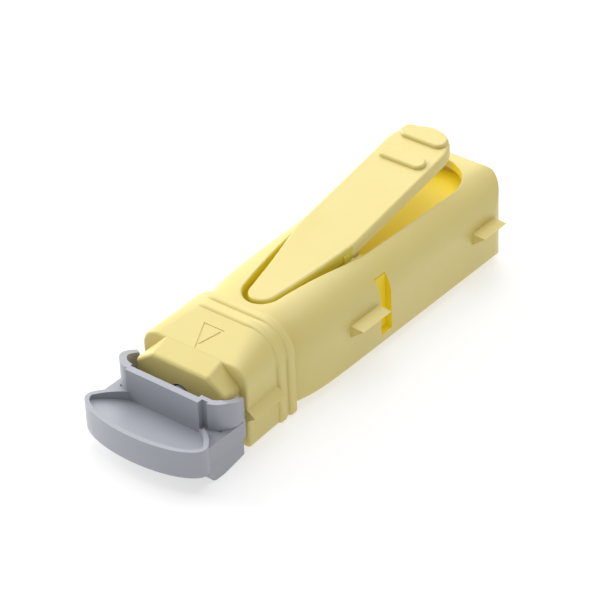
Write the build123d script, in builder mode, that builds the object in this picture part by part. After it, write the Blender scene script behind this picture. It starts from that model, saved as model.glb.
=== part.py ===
from build123d import *
from math import asin, cos, sin
import os

# Single-use safety lancet: a finger-prick device with a rocker lever and a pull-off cap.
#
# Frame: X across, symmetric about X = 0; Y along, the needle leaves towards -Y; Z up.
# The origin is under the middle of the whole object, on the surface that it lies on.
# All sizes are in millimetres.

os.makedirs("parts", exist_ok=True)

# ---------------------------------------------------------------- driving dimensions
# Stations along the length
nose_face_y = -20.9
notch_y = -18.4
rib_start_y = -13.0
seam_y = -9.8
hinge_y = 4.9
rear_y = 29.8

# Housing sleeve
body_half = 8.1
body_bottom = 1.05
body_top = 11.9
body_top_radius = 4.2
waist_top_radius = 5.0
mouth_top_radius = 5.4
body_bottom_radius = 0.5
mouth_half = 7.15
mouth_top = 11.15
shoulder_steps = 5
narrowing_power = 5
dropping_power = 2.6
cavity_y = -7.4
straight_y = 3.0
wall = 1.1
floor_top = body_bottom + 1.0
rear_corner_radius = 2.7
rear_top_radius = 0.7
rear_bottom_radius = 1.2
rim_round = 0.2
rail_x = 1.6
rail_height = 0.6
rail_width = 0.8
rail_start_y = -3.0
rail_end_y = 14.0
spigot_radius = 1.7
spigot_length = 2.4
deck_bottom = 8.85
deck_thickness = 0.8
deck_front_y = 7.2
fin_top = 6.95
fin_tip = 6.75
fin_drop = 2.0
fin_reach = 1.85

# Lever opening and side slots
opening_front_y = -8.5
opening_front_radius = 2.5
opening_hinge_half = 4.75
opening_rear_half = 5.15
opening_rear_y = 28.0
slot_y = 4.8
slot_length = 2.0
slot_bottom = 2.45
slot_top = 9.8

# Nose guard
head_top_half = 4.0
head_half = 6.5
head_side_z = 8.0
head_corner = 0.7
face_bottom = 0.3
face_top = 9.7
face_round = 0.5
shoulder_half = 7.55
shoulder_top = 10.5
shoulder_radius = 2.2
shoulder_round = 0.35
nose_half = 7.3
nose_bottom = 0.1
nose_top = 11.75
nose_top_radius = 3.8
nose_bottom_radius = 0.5
rib_half = 7.6
rib_bottom = 0.05
rib_top = 12.0
rib_width = 1.4
rib_pitch = 1.75
rib_top_radius = 4.6
rib_round = 0.45
nose_fin_top = 5.85
nose_fin_tip = 4.6
nose_fin_drop = 2.4
nose_fin_reach = 1.25
plug_half = 6.2
plug_top = 10.1
plug_corner = 2.6
plug_gap = 0.04
plug_length = 1.0
arm_thickness = 0.8
arm_height = 5.0
hook_reach = 1.15
bore_radius = 3.2
bore_end_y = -19.4
face_hole_radius = 1.45
mark_y = -16.3
mark_depth = 0.07

# Lever
lever_gap = 0.6
lever_rear_half = 4.15
lever_front_y = opening_front_y + lever_gap
lever_rear_y = 26.4
lever_front_top = 11.2
lever_bend_y = -1.0
lever_bend_top = 11.95
lever_slope = 0.183
lever_thickness = 1.35
lever_round = 0.45
lever_bend_radius = 60.0
ridge_width = 6.5
ridge_height = 0.45
ridge_round = 0.3
hinge_z = 11.0
hinge_radius = 0.5
hinge_clearance = 0.06
bar_inner = 3.3
bar_outer = 5.05
bridge_inner = 4.25
bridge_width = 2.4
bridge_bottom = 10.0
bridge_top = 11.45
block_half = 4.0
block_length = 2.6
block_height = 2.4
catch_width = 3.0
catch_gap = 0.15
catch_slope = 0.4
catch_low_z = 7.8
catch_front_y = -6.9
catch_low_y = -6.2

# Needle line and firing parts
axis_z = 5.7
needle_radius = 0.25
needle_tip_y = -18.1
needle_root_y = -11.0
boss_radius = 0.78
boss_end_y = -14.0
flange_front_y = -8.7
flange_thickness = 1.4
flange_radius = 2.9
hammer_front_y = -4.4
neck_radius = 1.9
hammer_half = 2.3
hammer_rear_y = 10.0
tail_end_y = 17.0
tail_radius = 1.3
wing_half = 4.9
step_top_z = 9.0
drive_coil_radius = 2.4
drive_wire_radius = 0.3
drive_turns = 9
return_coil_radius = 2.35
return_wire_radius = 0.2
return_turns = 6
coil_end_gap = 0.05

# Protective cap and sheath
sheath_bore = 0.86
sheath_radius = 1.2
sheath_rear_y = -13.2
sheath_floor = 0.25
cap_half = 8.2
cap_rear_y = -19.9
cap_top = 8.6
cap_skin = 0.85
ear_x = 5.4
ear_y = -20.6
ear_radius = 2.75
ear_sweep = 33
ear_slope_y = -21.9
ear_slope = 0.34
cap_wall_y = -23.7
cap_wall_half = 5.05
cap_groove = 0.9
web_front_y = -22.95
web_rear_y = -22.4
web_inner = 4.5
tray_half = 8.65
tray_depth = 3.2
tray_line_y = -26.6
tray_top = 5.7
tray_bottom = 2.2
tray_rim = 0.6
tray_corner = 1.2
tray_back = (7.75, -25.2)
hollow_floor = 4.55
hollow_slope = 0.18
ledge_top = 5.05
ledge_bottom = 2.75
socket_radius = 1.8
socket_length = 1.0
foot_half = 8.0
foot_width = 1.0
foot_front_y = -25.7
foot_rear_z = 0.6
foot_flat = 2.4
foot_round = 1.3


# ---------------------------------------------------------------- shared shapes
def across(y):
    """Plane square to the length at station y; its local axes are X and Z."""
    return Plane(origin=(0, y, 0), x_dir=(1, 0, 0), z_dir=(0, -1, 0))


def on_axis(y_from, y_to):
    """Location of a cylinder on the needle line between two stations."""
    return Location((0, (y_from + y_to) / 2, axis_z), (90, 0, 0))


def shell_section(y, half, bottom, top, top_radius, bottom_radius):
    """Cross-section of a moulding: broad corners along the top, tight ones below."""
    with BuildSketch(across(y)) as section:
        with Locations((0, (bottom + top) / 2)):
            Rectangle(2 * half, top - bottom)
        fillet(section.vertices().group_by(Axis.Y)[-1], top_radius)
        fillet(section.vertices().group_by(Axis.Y)[0], bottom_radius)
    return section.sketch


def head_section(y, top):
    """Cross-section of the nose guard's head: flat top, slanting shoulders, upright sides."""
    with BuildSketch(across(y)) as section:
        with BuildLine():
            Polyline(
                (-head_top_half, top),
                (head_top_half, top),
                (head_half, head_side_z),
                (head_half, face_bottom),
                (-head_half, face_bottom),
                (-head_half, head_side_z),
                close=True,
            )
        make_face()
        fillet(section.vertices(), head_corner)
    return section.sketch


def opening_outline(z, gap, rear_half, rear_end):
    """Plan of the lever opening, or of the lever itself when a gap is taken off it.

    It goes round three circles: a small one in front, one at the hinge and one behind.
    """
    circles = (
        (opening_front_y + opening_front_radius, opening_front_radius - gap),
        (hinge_y + 1, opening_hinge_half - gap),
        (rear_end - rear_half, rear_half),
    )
    side = []
    for (y_near, r_near), (y_far, r_far) in zip(circles, circles[1:]):
        lean = asin((r_far - r_near) / (y_far - y_near))
        side.append((r_near * cos(lean), y_near - r_near * sin(lean)))
        side.append((r_far * cos(lean), y_far - r_far * sin(lean)))
    hinge_lean = (asin((circles[1][1] - circles[0][1]) / (circles[1][0] - circles[0][0]))) / 2
    hinge_mid = (
        circles[1][1] * cos(hinge_lean),
        circles[1][0] - circles[1][1] * sin(hinge_lean),
    )
    with BuildSketch(Plane.XY.offset(z)) as outline:
        with BuildLine():
            Line(side[0], side[1])
            ThreePointArc(side[1], hinge_mid, side[2])
            Line(side[2], side[3])
            ThreePointArc(side[3], (0, rear_end), (-side[3][0], side[3][1]))
            Line((-side[3][0], side[3][1]), (-side[2][0], side[2][1]))
            ThreePointArc(
                (-side[2][0], side[2][1]), (-hinge_mid[0], hinge_mid[1]), (-side[1][0], side[1][1])
            )
            Line((-side[1][0], side[1][1]), (-side[0][0], side[0][1]))
            ThreePointArc((-side[0][0], side[0][1]), (0, opening_front_y + gap), side[0])
        make_face()
    return outline.sketch


def fin(y, length, half, top, tip, drop, reach):
    """Triangular finger fin on the right-hand wall, running along Y."""
    with BuildSketch(across(y)) as profile:
        with BuildLine():
            Polyline((half - 0.5, top), (half + reach, tip), (half - 0.5, top - drop), close=True)
        make_face()
    return extrude(profile.sketch, amount=-length)


def coil(start_y, end_y, coil_radius, wire_radius, turns):
    """Round-wire compression spring on the needle line."""
    length = end_y - start_y - 2 * wire_radius
    centre = (0, start_y + wire_radius, axis_z)
    with BuildPart() as spring:
        with BuildLine() as path:
            Helix(length / turns, length, coil_radius, center=centre, direction=(0, 1, 0))
        with BuildSketch(Plane(origin=path.line @ 0, z_dir=path.line % 0)):
            Circle(wire_radius)
        sweep(is_frenet=True)
    return spring.part


# ---------------------------------------------------------------- housing
with BuildPart() as housing:
    # The front end narrows and drops a little towards the seam, on a smooth curve
    stations = []
    for step in range(shoulder_steps + 1):
        reach = 1 - step / shoulder_steps
        stations.append(
            shell_section(
                straight_y + reach * (seam_y - straight_y),
                body_half - (body_half - mouth_half) * reach**narrowing_power,
                body_bottom,
                body_top - (body_top - mouth_top) * reach**dropping_power,
                waist_top_radius + (mouth_top_radius - waist_top_radius) * reach,
                body_bottom_radius,
            )
        )
    loft(stations)
    rear_section = shell_section(
        rear_y, body_half, body_bottom, body_top, body_top_radius, body_bottom_radius
    )
    loft([stations[-1], rear_section])

    # Rear end: rounded corners in plan, rounded upper edge from the side
    with BuildSketch(Plane.XY) as plan:
        with Locations((0, rear_y - 25)):
            Rectangle(2 * body_half, 50)
        fillet(plan.vertices().group_by(Axis.Y)[-1], rear_corner_radius)
    extrude(amount=body_top + 1, mode=Mode.INTERSECT)
    with BuildSketch(Plane.YZ) as side:
        with Locations((rear_y - 25, (body_bottom + body_top) / 2)):
            Rectangle(50, body_top - body_bottom)
        fillet(side.vertices().group_by(Axis.X)[-1].sort_by(Axis.Y)[-1], rear_top_radius)
        fillet(side.vertices().group_by(Axis.X)[-1].sort_by(Axis.Y)[0], rear_bottom_radius)
    extrude(amount=body_half + 1, both=True, mode=Mode.INTERSECT)

    # Cavity: a narrower mouth for the nose plug, then the full room behind it
    extrude(
        shell_section(seam_y, plug_half, floor_top, plug_top, plug_corner, 0.4),
        amount=-(cavity_y - seam_y + 0.1),
        mode=Mode.SUBTRACT,
    )
    extrude(
        shell_section(
            cavity_y, body_half - wall, floor_top, body_top - wall, body_top_radius - wall, 0.4
        ),
        amount=-(rear_y - wall - cavity_y),
        mode=Mode.SUBTRACT,
    )
    # Lever opening through the top wall
    extrude(
        opening_outline(body_top - 2.4, 0, opening_rear_half, opening_rear_y),
        amount=4,
        mode=Mode.SUBTRACT,
    )
    rim = housing.edges(Select.LAST).filter_by(lambda edge: edge.center().Z > body_top - wall / 2)
    fillet(rim, rim_round)
    # Side slots that the nose guard's arms snap into
    with Locations((0, slot_y + slot_length / 2, (slot_bottom + slot_top) / 2)):
        Box(2 * body_half + 1, slot_length, slot_top - slot_bottom, mode=Mode.SUBTRACT)

    # Bridges at the opening's edges, with the torsion bars that carry the lever
    for sign in (-1, 1):
        with Locations(
            (sign * (bridge_inner + bar_outer) / 2, hinge_y, (bridge_bottom + bridge_top) / 2)
        ):
            Box(bar_outer - bridge_inner, bridge_width, bridge_top - bridge_bottom)
        with Locations(Location((sign * (bar_inner + bar_outer) / 2, hinge_y, hinge_z), (0, 90, 0))):
            Cylinder(hinge_radius, bar_outer - bar_inner)
    # Two low rails under the hammer, and a spigot that centres the drive spring
    with Locations(*[(sign * rail_x, (rail_start_y + rail_end_y) / 2, floor_top) for sign in (-1, 1)]):
        Box(rail_width, rail_end_y - rail_start_y, 2 * rail_height)
    with Locations(on_axis(rear_y - wall - spigot_length, rear_y - wall + 0.2)):
        Cylinder(spigot_radius, spigot_length + 0.2)

    # Deck under the lever that covers the drive spring
    with Locations((0, (deck_front_y + rear_y - wall) / 2, deck_bottom + deck_thickness / 2)):
        Box(2 * (body_half - wall) + 0.2, rear_y - wall - deck_front_y + 0.2, deck_thickness)
    # Finger fins, the same on both sides
    for fin_y, fin_length in ((-0.8, 5.2), (22.6, 4.4)):
        side_fin = fin(fin_y, fin_length, body_half, fin_top, fin_tip, fin_drop, fin_reach)
        add(side_fin)
        add(mirror(side_fin, about=Plane.YZ))
housing.part.label = "housing"

# ---------------------------------------------------------------- nose guard
with BuildPart() as nose_guard:
    # Two ribs at the seam
    for rib in range(2):
        extrude(
            shell_section(
                rib_start_y + rib * rib_pitch, rib_half, rib_bottom, rib_top, rib_top_radius, 0.6
            ),
            amount=-rib_width,
        )
    fillet(nose_guard.faces().filter_by(Axis.Y).edges(), rib_round)
    # Core under the ribs, and the sloping nose in front of them
    nose_section = shell_section(
        rib_start_y, nose_half, nose_bottom, nose_top, nose_top_radius, nose_bottom_radius
    )
    extrude(nose_section, amount=-(seam_y - rib_start_y))
    loft(
        [
            shell_section(
                notch_y, shoulder_half, nose_bottom, shoulder_top, shoulder_radius, nose_bottom_radius
            ),
            nose_section,
        ]
    )
    fillet(nose_guard.faces().sort_by(Axis.Y)[0].edges().filter_by(Axis.X, reverse=True), shoulder_round)
    # Head: lower and narrower, its sides slanting away from a flat top
    head_drop = (shoulder_top - face_top) / (notch_y - nose_face_y)
    loft(
        [
            head_section(nose_face_y, face_top),
            head_section(notch_y + 0.5, shoulder_top - 0.05 + 0.5 * head_drop),
        ]
    )
    fillet(nose_guard.faces().sort_by(Axis.Y)[0].edges(), face_round)
    # Plug and snap arms that reach back into the housing
    extrude(
        shell_section(
            seam_y, plug_half - plug_gap, floor_top + plug_gap, plug_top - plug_gap, plug_corner, 0.4
        ),
        amount=-plug_length,
    )
    arm_start_y = seam_y + plug_length - 0.2
    arm_end_y = slot_y + slot_length - 0.1
    arm_outer = plug_half - plug_gap
    for sign in (-1, 1):
        with Locations((sign * (arm_outer - arm_thickness / 2), (arm_start_y + arm_end_y) / 2, axis_z)):
            Box(arm_thickness, arm_end_y - arm_start_y, arm_height)
        hook_place = (
            sign * (arm_outer + hook_reach / 2 - 0.2),
            slot_y + slot_length / 2,
            (slot_bottom + slot_top) / 2,
        )
        with Locations(hook_place):
            Box(hook_reach + 0.4, slot_length - 0.2, slot_top - slot_bottom - 0.3)
    # Bore for the return spring, and the hole that the needle leaves by
    bore_open_y = seam_y + plug_length + 0.1
    with Locations(on_axis(bore_end_y, bore_open_y)):
        Cylinder(bore_radius, bore_open_y - bore_end_y, mode=Mode.SUBTRACT)
    with Locations(on_axis(nose_face_y - 1, bore_end_y + 0.1)):
        Cylinder(face_hole_radius, bore_end_y - nose_face_y + 1.1, mode=Mode.SUBTRACT)
    # Direction mark: a shallow engraved triangle on the sloping top
    mark_slope = (nose_top - shoulder_top) / (rib_start_y - notch_y)
    mark_z = nose_top + mark_slope * (mark_y - rib_start_y)
    with BuildSketch(Plane(origin=(0, mark_y, mark_z), x_dir=(1, 0, 0), z_dir=(0, -mark_slope, 1))):
        with BuildLine():
            Polyline((-1.5, 1.7), (1.5, 1.7), (0, -1.9), close=True)
        make_face()
        offset(amount=-0.28, kind=Kind.INTERSECTION, mode=Mode.SUBTRACT)
    extrude(amount=mark_depth, both=True, mode=Mode.SUBTRACT)
    # Low fins on the nose
    nose_fin = fin(
        notch_y, rib_start_y - notch_y, nose_half, nose_fin_top, nose_fin_tip, nose_fin_drop, nose_fin_reach
    )
    add(nose_fin)
    add(mirror(nose_fin, about=Plane.YZ))
nose_guard.part.label = "nose_guard"

# ---------------------------------------------------------------- lever
lever_rear_top = lever_bend_top + lever_slope * (lever_rear_y - lever_bend_y)


def lever_surface(y):
    """Plane on the lever's sloping top at station y; its local axes are X and up the slope."""
    z = lever_bend_top + lever_slope * (y - lever_bend_y)
    return Plane(origin=(0, y, z), x_dir=(1, 0, 0), z_dir=(0, -lever_slope, 1))


def thumb_ridge(y, width, length):
    """Long rounded bar across the lever's rear end."""
    with BuildPart() as ridge:
        with BuildSketch(lever_surface(y).offset(-0.3)):
            SlotOverall(width, length)
        extrude(amount=ridge_height + 0.3)
        fillet(ridge.faces().sort_by(Axis.Z)[-1].edges(), ridge_round)
    return ridge.part


with BuildPart() as trigger_lever:
    extrude(opening_outline(0, lever_gap, lever_rear_half, lever_rear_y), amount=rear_y)
    with BuildSketch(Plane.YZ) as profile:
        with BuildLine():
            Polyline(
                (lever_front_y - 1, lever_front_top),
                (lever_bend_y, lever_bend_top),
                (lever_rear_y + 1, lever_rear_top + lever_slope),
                (lever_rear_y + 1, lever_rear_top + lever_slope - lever_thickness),
                (lever_bend_y, lever_bend_top - lever_thickness),
                (lever_front_y - 1, lever_front_top - lever_thickness),
                close=True,
            )
        make_face()
        fillet(profile.vertices().group_by(Axis.X)[1], lever_bend_radius)
    extrude(amount=body_half, both=True, mode=Mode.INTERSECT)
    upper_faces = trigger_lever.faces().filter_by(lambda face: face.normal_at().Z > 0.8)
    fillet(upper_faces.edges() - upper_faces.edges().filter_by(Axis.X), lever_round)

    for ridge_y, ridge_length in ((19.9, 1.9), (24.2, 2.2)):
        add(thumb_ridge(ridge_y, ridge_width, ridge_length))

    # Hinge block with a round seat for each torsion bar
    with Locations((0, hinge_y, hinge_z)):
        Box(2 * block_half, block_length, block_height)
    for sign in (-1, 1):
        seat_middle = sign * (bar_inner - 0.1 + bar_outer) / 2
        with Locations(Location((seat_middle, hinge_y, hinge_z), (0, 90, 0))):
            Cylinder(
                hinge_radius + hinge_clearance, bar_outer - bar_inner + 0.1, mode=Mode.SUBTRACT
            )
    # Catch: a tooth whose sloping rear face holds the hammer back
    catch_root_z = lever_front_top - lever_thickness + 0.8
    catch_rear_y = catch_low_y + (catch_root_z - catch_low_z) / catch_slope
    with BuildSketch(Plane.YZ):
        with BuildLine():
            Polyline(
                (catch_front_y, catch_root_z),
                (catch_front_y, catch_low_z),
                (catch_low_y, catch_low_z),
                (catch_rear_y, catch_root_z),
                close=True,
            )
        make_face()
    extrude(amount=catch_width / 2, both=True)
trigger_lever.part.label = "trigger_lever"

# ---------------------------------------------------------------- firing parts
with BuildPart() as needle_hammer:
    flange_rear_y = flange_front_y + flange_thickness
    # Boss that grips the needle, and the flange that the return spring meets
    with Locations(on_axis(boss_end_y, flange_front_y + 0.2)):
        Cylinder(boss_radius, flange_front_y + 0.2 - boss_end_y)
    with Locations(on_axis(flange_front_y, flange_rear_y)):
        Cylinder(flange_radius, flange_thickness)
    # Neck in front, and the low body that runs on the housing's rails
    with Locations(on_axis(flange_rear_y - 0.2, hammer_front_y + 0.2)):
        Cylinder(neck_radius, hammer_front_y - flange_rear_y + 0.4)
    body_low_z = axis_z - flange_radius
    body_high_z = catch_low_z - 0.2
    with Locations((0, (hammer_front_y + hammer_rear_y) / 2, (body_low_z + body_high_z) / 2)):
        Box(2 * hammer_half, hammer_rear_y - hammer_front_y, body_high_z - body_low_z)
    # Step with a sloping front that the lever's catch holds
    step_low_y = catch_low_y + (body_high_z - 0.3 + catch_gap - catch_low_z) / catch_slope
    step_high_y = catch_low_y + (step_top_z + catch_gap - catch_low_z) / catch_slope
    with BuildSketch(Plane.YZ):
        with BuildLine():
            Polyline(
                (step_low_y, body_high_z - 0.3),
                (step_high_y, step_top_z),
                (0.5, step_top_z),
                (1.5, body_high_z - 0.3),
                close=True,
            )
        make_face()
    extrude(amount=catch_width / 2, both=True)
    # Side wings that keep it level between the snap arms
    with Locations((0, 2.2, axis_z)):
        Box(2 * wing_half, 11, 1.2)
    # Rear flange and tail inside the drive spring
    with Locations(on_axis(hammer_rear_y - 1.4, hammer_rear_y)):
        Cylinder(flange_radius, 1.4)
    with Locations(on_axis(hammer_rear_y - 0.2, tail_end_y)):
        Cylinder(tail_radius, tail_end_y - hammer_rear_y + 0.2)
    fillet(needle_hammer.faces().sort_by(Axis.Y)[-1].edges(), 0.4)
    # Hole that the needle is fixed in
    with Locations(on_axis(boss_end_y - 0.1, needle_root_y)):
        Cylinder(needle_radius, needle_root_y - boss_end_y + 0.1, mode=Mode.SUBTRACT)
needle_hammer.part.label = "needle_hammer"

with BuildPart() as lancet_needle:
    with Locations(on_axis(needle_tip_y, needle_root_y)):
        Cylinder(needle_radius, needle_root_y - needle_tip_y)
    # Bevelled point
    bevel = Plane(origin=(0, needle_tip_y + 0.75, axis_z + 0.02), x_dir=(1, 0, 0), z_dir=(0, -0.37, 0.93))
    split(bisect_by=bevel, keep=Keep.BOTTOM)
lancet_needle.part.label = "lancet_needle"

drive_spring = coil(
    hammer_rear_y + coil_end_gap,
    rear_y - wall - coil_end_gap,
    drive_coil_radius,
    drive_wire_radius,
    drive_turns,
)
drive_spring.label = "drive_spring"

return_spring = coil(
    bore_end_y + coil_end_gap,
    flange_front_y - coil_end_gap,
    return_coil_radius,
    return_wire_radius,
    return_turns,
)
return_spring.label = "return_spring"

# ---------------------------------------------------------------- cap and sheath
cap_inner_y = cap_wall_y + cap_skin

with BuildPart() as needle_sheath:
    with Locations(on_axis(cap_inner_y, sheath_rear_y)):
        Cylinder(sheath_radius, sheath_rear_y - cap_inner_y)
    with Locations(on_axis(cap_inner_y + sheath_floor, sheath_rear_y + 0.1)):
        Cylinder(sheath_bore, sheath_rear_y + 0.1 - cap_inner_y - sheath_floor, mode=Mode.SUBTRACT)
needle_sheath.part.label = "needle_sheath"

with BuildPart() as protective_cap:
    # Finger tray: a D-shaped plate, its back edges slanting in to the front wall
    with BuildSketch(Plane.XY.offset(tray_bottom)) as tray:
        with BuildLine():
            tray_front = EllipticalCenterArc(
                (0, tray_line_y), tray_half, tray_depth, start_angle=180, arc_size=180
            )
            ThreePointArc(tray_front @ 1, tray_back, (cap_wall_half, cap_wall_y))
            Line((cap_wall_half, cap_wall_y), (-cap_wall_half, cap_wall_y))
            ThreePointArc(
                (-cap_wall_half, cap_wall_y), (-tray_back[0], tray_back[1]), tray_front @ 0
            )
        make_face()
        fillet(tray.vertices().group_by(Axis.Y)[0], tray_corner)
    extrude(amount=tray_top - tray_bottom)
    # Ledges under the wall and the ears, open behind the wall for the sheath and the nose
    cap_inner_half = cap_half - cap_skin
    with BuildSketch(Plane.XY.offset(ledge_bottom)):
        with Locations((0, (tray_line_y + cap_rear_y) / 2)):
            Rectangle(2 * cap_half, cap_rear_y - tray_line_y)
        with Locations((0, cap_inner_y + 5)):
            Rectangle(2 * cap_inner_half, 10, mode=Mode.SUBTRACT)
    extrude(amount=ledge_top - ledge_bottom)
    # Hollow of the tray, its floor falling towards the wall
    hollow_plane = Plane(
        origin=(0, cap_wall_y, hollow_floor), x_dir=(1, 0, 0), z_dir=(0, hollow_slope, 1)
    )
    with BuildSketch(Plane.XY.offset(tray_top)):
        with BuildLine():
            hollow_front = EllipticalCenterArc(
                (0, tray_line_y),
                tray_half - tray_rim,
                tray_depth - tray_rim,
                start_angle=180,
                arc_size=180,
            )
            ThreePointArc(
                hollow_front @ 1,
                (tray_back[0] - tray_rim, tray_back[1] - 0.2),
                (cap_wall_half - 0.2, cap_wall_y + 0.1),
            )
            Line((cap_wall_half - 0.2, cap_wall_y + 0.1), (0.2 - cap_wall_half, cap_wall_y + 0.1))
            ThreePointArc(
                (0.2 - cap_wall_half, cap_wall_y + 0.1),
                (tray_rim - tray_back[0], tray_back[1] - 0.2),
                hollow_front @ 0,
            )
        make_face()
    hollow_block = extrude(amount=hollow_floor - tray_top - 1, mode=Mode.PRIVATE)
    add(split(hollow_block, bisect_by=hollow_plane, keep=Keep.TOP, mode=Mode.PRIVATE), mode=Mode.SUBTRACT)
    # Ears: thin walls that curl round the head's corners, lower towards the rear
    for sign in (-1, 1):
        with BuildSketch(Plane.XY.offset(ledge_bottom)):
            with BuildLine():
                CenterArc((sign * ear_x, ear_y), ear_radius - cap_skin / 2, -90, sign * (90 + ear_sweep))
            trace(line_width=cap_skin)
        extrude(amount=cap_top - ledge_bottom)
    with BuildSketch(Plane.YZ):
        with BuildLine():
            Polyline(
                (ear_slope_y, cap_top),
                (ear_slope_y + 4, cap_top - 4 * ear_slope),
                (ear_slope_y + 4, cap_top),
                close=True,
            )
        make_face()
    extrude(amount=2 * cap_half, both=True, mode=Mode.SUBTRACT)
    # Groove that sets the right-hand ear off from the front wall, closed behind by a thin web
    web_middle = (web_inner + cap_wall_half + cap_groove) / 2
    web_width = cap_wall_half + cap_groove - web_inner
    with BuildSketch(Plane.XY.offset(ledge_top)):
        with Locations((web_middle, web_front_y - 1)):
            Rectangle(web_width, 2)
    extrude(amount=cap_top - ledge_top, mode=Mode.SUBTRACT)
    with BuildSketch(Plane.XY.offset(ledge_bottom)):
        with Locations((web_middle, (web_front_y + web_rear_y) / 2)):
            Rectangle(web_width, web_rear_y - web_front_y)
        with Locations(((cap_wall_half - ear_x) / 2, cap_wall_y + cap_skin / 2)):
            Rectangle(cap_wall_half + ear_x, cap_skin)
    extrude(amount=cap_top - ledge_bottom)
    # Socket that the sheath is fixed in
    with Locations(on_axis(cap_inner_y - 0.2, cap_inner_y + socket_length)):
        Cylinder(socket_radius, socket_length + 0.2)
    with Locations(on_axis(cap_inner_y, cap_inner_y + socket_length + 0.1)):
        Cylinder(sheath_radius, socket_length + 0.1, mode=Mode.SUBTRACT)
    # Feet under the ledges: rounded in front, rising to the rear
    for sign in (-1, 1):
        with BuildSketch(Plane.YZ.offset(sign * (foot_half - foot_width / 2))) as foot:
            with BuildLine():
                Polyline(
                    (foot_front_y, ledge_bottom + 0.4),
                    (foot_front_y, 0),
                    (foot_front_y + foot_flat, 0),
                    (cap_rear_y, foot_rear_z),
                    (cap_rear_y, ledge_bottom + 0.4),
                    close=True,
                )
            make_face()
            fillet(foot.vertices().group_by(Axis.Y)[0], foot_round)
        extrude(amount=foot_width / 2, both=True)
protective_cap.part.label = "protective_cap"

# ---------------------------------------------------------------- files
for piece in (
    housing.part,
    nose_guard.part,
    trigger_lever.part,
    needle_hammer.part,
    lancet_needle.part,
    drive_spring,
    return_spring,
    needle_sheath.part,
    protective_cap.part,
):
    export_step(piece, f"parts/{piece.label}.step")
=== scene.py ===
from math import cos, radians, sin

import bpy
from mathutils import Matrix, Vector

MM = 0.001

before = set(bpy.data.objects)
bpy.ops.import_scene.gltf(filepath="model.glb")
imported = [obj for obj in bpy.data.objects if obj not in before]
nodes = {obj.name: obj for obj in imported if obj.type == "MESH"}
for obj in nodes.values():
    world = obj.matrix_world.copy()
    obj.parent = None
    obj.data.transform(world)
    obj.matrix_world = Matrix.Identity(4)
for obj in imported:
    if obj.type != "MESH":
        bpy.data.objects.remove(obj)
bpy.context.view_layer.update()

# ---------------------------------------------------------------- camera
# A long lens from a long way off, so that the lines hardly run together. Lengths in metres,
# lens and film in millimetres.
AZIMUTH = radians(40.3)
ELEVATION = radians(34.4)
ROLL = radians(2.57)
DISTANCE = 320 * MM
LENS = 168.2
FILM_WIDTH = 36
NEAREST = 0.01
FARTHEST = 20
AIM = Vector((0.0, -1.0, 7.3)) * MM
FRAMING = (0.75 * MM, 0.03 * MM)


def make_camera():
    """Camera in front, to the right and above, with a small roll to the left."""
    back = Vector((sin(AZIMUTH) * cos(ELEVATION), -cos(AZIMUTH) * cos(ELEVATION), sin(ELEVATION)))
    level = Vector((cos(AZIMUTH), sin(AZIMUTH), 0.0))
    upright = back.cross(level)
    right = level * cos(ROLL) - upright * sin(ROLL)
    up = level * sin(ROLL) + upright * cos(ROLL)
    place = AIM + back * DISTANCE
    target = AIM + right * FRAMING[0] + up * FRAMING[1]
    back = (place - target).normalized()
    right = up.cross(back).normalized()
    up = back.cross(right)
    data = bpy.data.cameras.new("camera")
    data.lens = LENS
    data.sensor_width = FILM_WIDTH
    data.clip_start = NEAREST
    data.clip_end = FARTHEST
    camera = bpy.data.objects.new("camera", data)
    matrix = Matrix((right, up, back)).transposed().to_4x4()
    matrix.translation = place
    camera.matrix_world = matrix
    bpy.context.scene.collection.objects.link(camera)
    bpy.context.scene.camera = camera


make_camera()


# ---------------------------------------------------------------- stage and light
FLOOR_REACH = 3.0
PAPER_GREY = 0.45
PAPER_LIGHT = 0.58
SURROUND_LIGHT = 0.44


def make_stage():
    """Plain pale floor of white-lit paper, and a soft white surround."""
    mesh = bpy.data.meshes.new("floor")
    corners = ((-1, -1), (1, -1), (1, 1), (-1, 1))
    places = [(x * FLOOR_REACH, y * FLOOR_REACH, 0) for x, y in corners]
    mesh.from_pydata(places, [], [(0, 1, 2, 3)])
    floor = bpy.data.objects.new("floor", mesh)
    bpy.context.scene.collection.objects.link(floor)
    paper = bpy.data.materials.new("paper")
    paper.use_nodes = True
    shader = paper.node_tree.nodes["Principled BSDF"]
    shader.inputs["Base Color"].default_value = (PAPER_GREY, PAPER_GREY, PAPER_GREY, 1)
    shader.inputs["Emission Color"].default_value = (1, 1, 1, 1)
    shader.inputs["Emission Strength"].default_value = PAPER_LIGHT
    shader.inputs["Roughness"].default_value = 0.9
    shader.inputs["Specular IOR Level"].default_value = 0.1
    mesh.materials.append(paper)

    world = bpy.data.worlds.new("surround")
    world.use_nodes = True
    world.node_tree.nodes["Background"].inputs["Color"].default_value = (1, 1, 1, 1)
    world.node_tree.nodes["Background"].inputs["Strength"].default_value = SURROUND_LIGHT
    bpy.context.scene.world = world
    bpy.context.scene.view_settings.view_transform = "Standard"


def make_light(name, place, size, power):
    """Square area lamp at a place in metres, turned towards the object; power is in watts."""
    data = bpy.data.lights.new(name, "AREA")
    data.size = size
    data.energy = power
    lamp = bpy.data.objects.new(name, data)
    lamp.location = place
    lamp.rotation_euler = Vector(place).to_track_quat("Z", "Y").to_euler()
    bpy.context.scene.collection.objects.link(lamp)


make_stage()
make_light("overhead", place=(-0.02, 0.12, 0.44), size=0.45, power=1.15)
make_light("side", place=(-0.42, -0.07, 0.20), size=0.3, power=1.7)
make_light("back", place=(-0.27, 0.31, 0.28), size=0.4, power=0.8)


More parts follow.
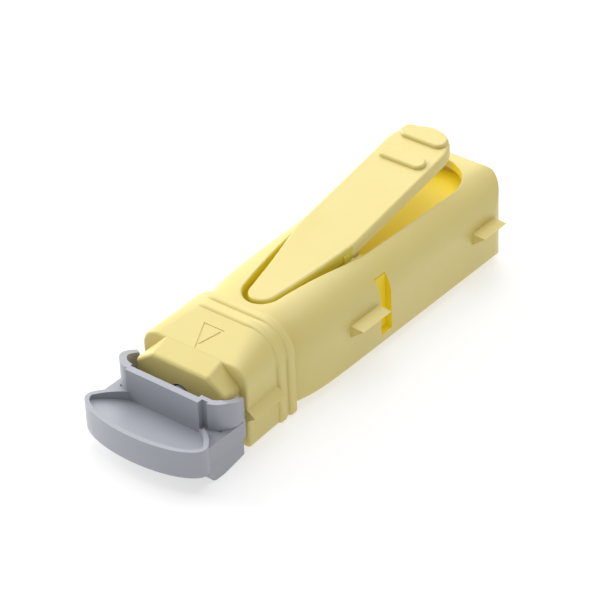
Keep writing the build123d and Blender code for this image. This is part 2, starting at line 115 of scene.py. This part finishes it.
# ---------------------------------------------------------------- materials
# Noise scales are per metre, and the grain's depth is in metres
MOTTLE_SCALE = 160
MOTTLE_LOW = 0.35
MOTTLE_HIGH = 0.75
DEEP_SHARE = 0.28
GRAIN_SCALE = 5200
GRAIN_STRENGTH = 0.18
GRAIN_DEPTH = 0.00003
STREAK_SCALE = 900


def node_setup(name):
    """New node material with its Principled shader, and short ways to add and join nodes."""
    material = bpy.data.materials.new(name)
    material.use_nodes = True
    tree = material.node_tree

    def add(kind, **settings):
        node = tree.nodes.new(kind)
        for key, value in settings.items():
            setattr(node, key, value)
        return node

    return material, tree.nodes["Principled BSDF"], add, tree.links.new


def moulded_plastic(name, colour, deep, rough, glow=0.0):
    """Satin injection-moulded plastic: soft mottling, fine spark-eroded grain, and an optional
    painted glow (emission) for light soaking in.
    """
    material, shader, add, join = node_setup(name)
    place = add("ShaderNodeTexCoord")
    mottle = add("ShaderNodeTexNoise")
    mottle.inputs["Scale"].default_value = MOTTLE_SCALE
    mottle.inputs["Detail"].default_value = 3
    join(place.outputs["Object"], mottle.inputs["Vector"])
    tint = add("ShaderNodeMix", data_type="RGBA")
    tint.inputs["A"].default_value = (*colour, 1)
    tint.inputs["B"].default_value = (*deep, 1)
    spread = add("ShaderNodeMapRange")
    spread.inputs["From Min"].default_value = MOTTLE_LOW
    spread.inputs["From Max"].default_value = MOTTLE_HIGH
    spread.inputs["To Max"].default_value = DEEP_SHARE
    join(mottle.outputs["Fac"], spread.inputs["Value"])
    join(spread.outputs["Result"], tint.inputs["Factor"])
    join(tint.outputs["Result"], shader.inputs["Base Color"])
    grain_noise = add("ShaderNodeTexNoise")
    grain_noise.inputs["Scale"].default_value = GRAIN_SCALE
    grain_noise.inputs["Detail"].default_value = 2
    join(place.outputs["Object"], grain_noise.inputs["Vector"])
    bump = add("ShaderNodeBump")
    bump.inputs["Strength"].default_value = GRAIN_STRENGTH
    bump.inputs["Distance"].default_value = GRAIN_DEPTH
    join(grain_noise.outputs["Fac"], bump.inputs["Height"])
    join(bump.outputs["Normal"], shader.inputs["Normal"])
    gloss = add("ShaderNodeMapRange")
    gloss.inputs["To Min"].default_value = rough - 0.05
    gloss.inputs["To Max"].default_value = rough + 0.07
    join(mottle.outputs["Fac"], gloss.inputs["Value"])
    join(gloss.outputs["Result"], shader.inputs["Roughness"])
    # Painted glow: emission in the plastic's own colour stands in for light soaking through the
    # shell; the part is no lamp.
    shader.inputs["Emission Color"].default_value = (*colour, 1)
    shader.inputs["Emission Strength"].default_value = glow
    shader.inputs["Specular IOR Level"].default_value = 0.6
    return material


def steel(name, rough):
    """Drawn bright steel with fine streaks along the wire."""
    material, shader, add, join = node_setup(name)
    place = add("ShaderNodeTexCoord")
    streak = add("ShaderNodeTexNoise")
    streak.inputs["Scale"].default_value = STREAK_SCALE
    join(place.outputs["Object"], streak.inputs["Vector"])
    gloss = add("ShaderNodeMapRange")
    gloss.inputs["To Min"].default_value = rough - 0.08
    gloss.inputs["To Max"].default_value = rough + 0.1
    join(streak.outputs["Fac"], gloss.inputs["Value"])
    join(gloss.outputs["Result"], shader.inputs["Roughness"])
    tint = add("ShaderNodeMix", data_type="RGBA")
    tint.inputs["A"].default_value = (*STEEL, 1)
    tint.inputs["B"].default_value = (*STEEL_DEEP, 1)
    join(streak.outputs["Fac"], tint.inputs["Factor"])
    join(tint.outputs["Result"], shader.inputs["Base Color"])
    shader.inputs["Metallic"].default_value = 1.0
    return material


# Each colour has a deeper tone for its mottling. The glow and edge yellows below are painted light:
# a saturated yellow with painted glow for light through the shell, and a darker one with faint
# painted glow for the shaded lever edges.
YELLOW = (0.71, 0.60, 0.22)
YELLOW_DEEP = (0.67, 0.55, 0.15)
PAINTED_GLOW = (0.62, 0.47, 0.008)
PAINTED_GLOW_DEEP = (0.56, 0.42, 0.006)
# Painted shade with a faint painted glow: a darker, more saturated yellow for the lever's shaded
# edges.
PAINTED_EDGE = (0.58, 0.50, 0.05)
PAINTED_EDGE_DEEP = (0.53, 0.44, 0.03)
GREY = (0.35, 0.36, 0.405)
GREY_DEEP = (0.31, 0.32, 0.37)
WHITE = (0.8, 0.8, 0.78)
WHITE_DEEP = (0.7, 0.7, 0.68)
STEEL = (0.70, 0.71, 0.73)
STEEL_DEEP = (0.56, 0.57, 0.60)

finishes = {
    "housing": moulded_plastic("housing_plastic", YELLOW, YELLOW_DEEP, rough=0.4),
    "nose_guard": moulded_plastic("nose_plastic", YELLOW, YELLOW_DEEP, rough=0.4),
    "trigger_lever": moulded_plastic("lever_plastic", YELLOW, YELLOW_DEEP, rough=0.4),
    "protective_cap": moulded_plastic("cap_plastic", GREY, GREY_DEEP, rough=0.34),
    "needle_sheath": moulded_plastic("sheath_plastic", GREY, GREY_DEEP, rough=0.45),
    "needle_hammer": moulded_plastic("hammer_plastic", WHITE, WHITE_DEEP, rough=0.4),
    "lancet_needle": steel("needle_steel", rough=0.2),
    "drive_spring": steel("spring_steel", rough=0.32),
    "return_spring": steel("spring_steel_fine", rough=0.32),
}


def finish_node(name, material):
    """Gives a CAD node its material in every slot."""
    mesh = nodes[name].data
    if not mesh.materials:
        mesh.materials.append(material)
    for index in range(len(mesh.materials)):
        mesh.materials[index] = material


for node_name, node_material in finishes.items():
    finish_node(node_name, node_material)


# Where the painted glow goes, in millimetres of the shared frame
AXIS_Z = 5.7
SLOT_START = 4.7
SLOT_END = 6.9
SLOT_TOP = 9.85
DECK_TOP = 9.8
CHAMBER_HALF = 7.1
HINGE_Y = 4.9
SEAM_Y = -9.0
# A face looks inwards below this product of its direction and its place from the needle line
FACES_INWARD = -0.3
# Limits on the parts of a face's direction: X along the slots' walls, Z up, down and level
SLOT_WALL_X = 0.5
FACES_UP = 0.9
FACES_DOWN = -0.5
SIDE_WALL_Z = 0.6


def paint_light_on_faces(name, material, is_lit):
    """Gives the chosen faces of a node a second material that paints light or shade on them,
    standing in for light through the plastic.
    """
    mesh = nodes[name].data
    mesh.materials.append(material)
    slot = len(mesh.materials) - 1
    for face in mesh.polygons:
        if is_lit(face.center / MM, face.normal):
            face.material_index = slot


def inside_housing(place, normal):
    """Walls of the chamber and of the lever opening, the slots' walls, and the deck."""
    outward = normal.x * place.x + normal.z * (place.z - AXIS_Z)
    in_slot = SLOT_START < place.y < SLOT_END and place.z < SLOT_TOP and abs(normal.x) < SLOT_WALL_X
    on_deck = AXIS_Z < place.z < DECK_TOP and normal.z > FACES_UP and abs(place.x) < CHAMBER_HALF
    return outward < FACES_INWARD or in_slot or on_deck


def lever_edge(place, normal):
    """The lever's underside, and its side walls as far back as the hinge."""
    return normal.z < FACES_DOWN or (abs(normal.z) < SIDE_WALL_Z and place.y < HINGE_Y)


def behind_seam(place, normal):
    """The snap arms and their hooks, which stand inside the housing."""
    return place.y > SEAM_Y


# Painted glow: a saturated yellow with emission stands in for light soaking through the shell onto
# the chamber walls, slots, deck and snap arms.
painted_glow_plastic = moulded_plastic("painted_inner_glow", PAINTED_GLOW, PAINTED_GLOW_DEEP, rough=0.5, glow=0.3)
# Painted shade and glow: a darker, more saturated yellow with faint emission on the lever's
# underside and its side walls.
painted_edge_plastic = moulded_plastic("painted_lever_edge", PAINTED_EDGE, PAINTED_EDGE_DEEP, rough=0.45, glow=0.08)
paint_light_on_faces("housing", painted_glow_plastic, inside_housing)
paint_light_on_faces("nose_guard", painted_glow_plastic, behind_seam)
paint_light_on_faces("trigger_lever", painted_edge_plastic, lever_edge)
